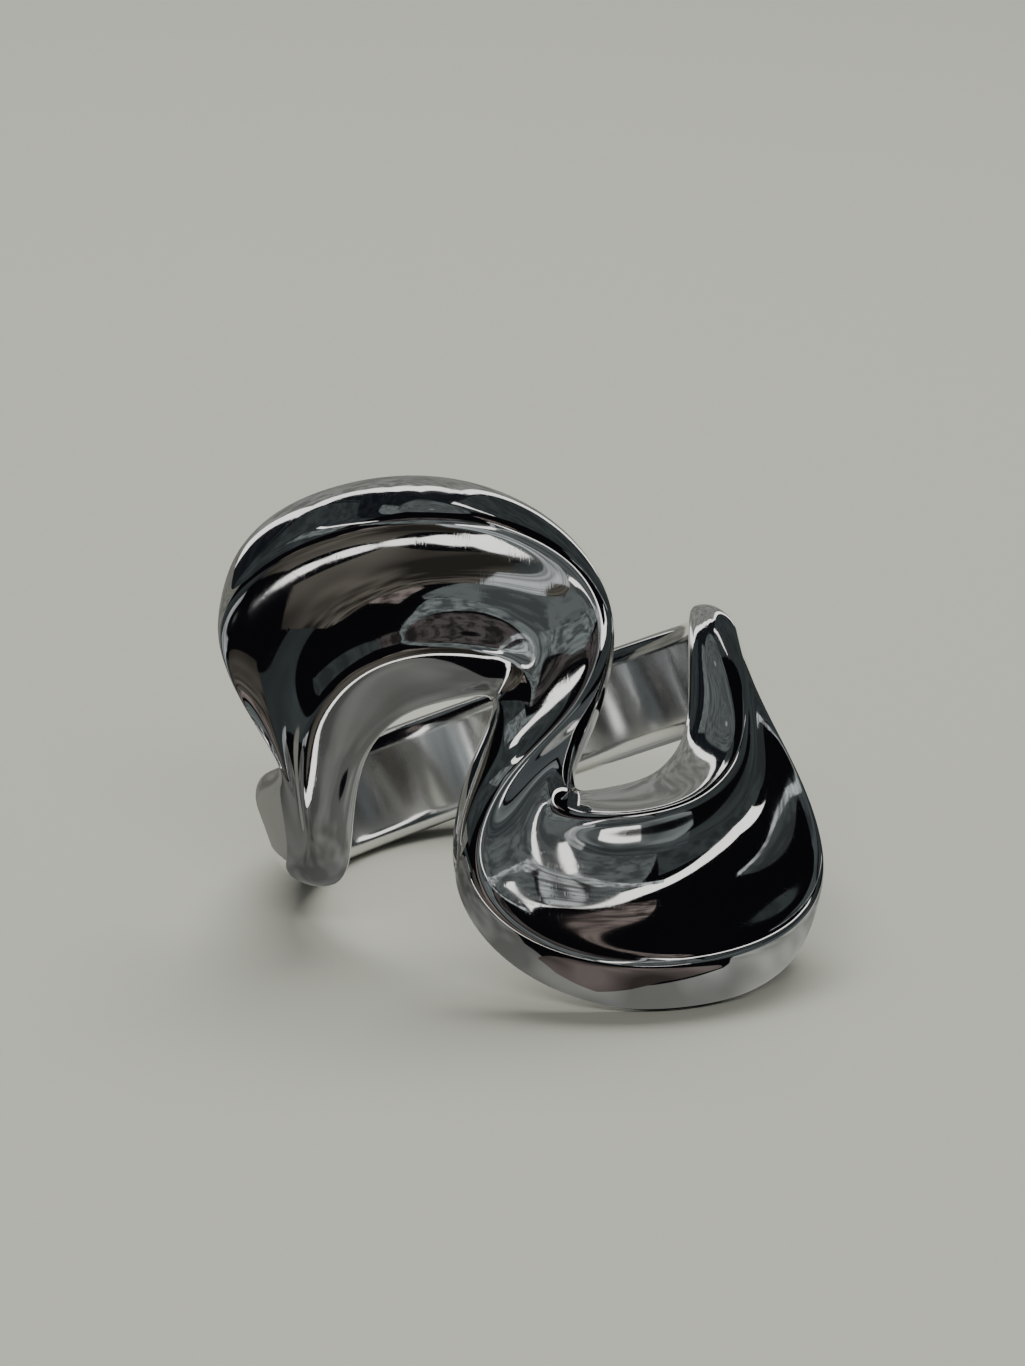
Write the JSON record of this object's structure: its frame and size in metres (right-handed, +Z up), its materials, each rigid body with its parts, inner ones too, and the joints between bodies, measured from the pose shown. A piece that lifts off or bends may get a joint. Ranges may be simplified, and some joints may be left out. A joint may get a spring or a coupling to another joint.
{
  "type": "swirl ring",
  "caption": "Cast silver finger ring: a flat band whose ribbon turns along the finger at each shoulder and flares into dished lobes that meet as an S on the face.",
  "frame": {"origin": "on the surface that the ring rests on, under the middle of its box", "axes": "+Z up from the surface, -Y the way the face looks, +X to the right of the face. The finger axis leans from +Z, 18.9 degrees towards -X and then 20.1 degrees back towards +Y."},
  "size_m": [0.0238, 0.0242, 0.0196],
  "materials": {
    "polished_silver": "mirror polished cast silver with faint wear"
  },
  "bodies": {
    "root": {"swirl_ring": "polished_silver"}
  },
  "joints": []
}
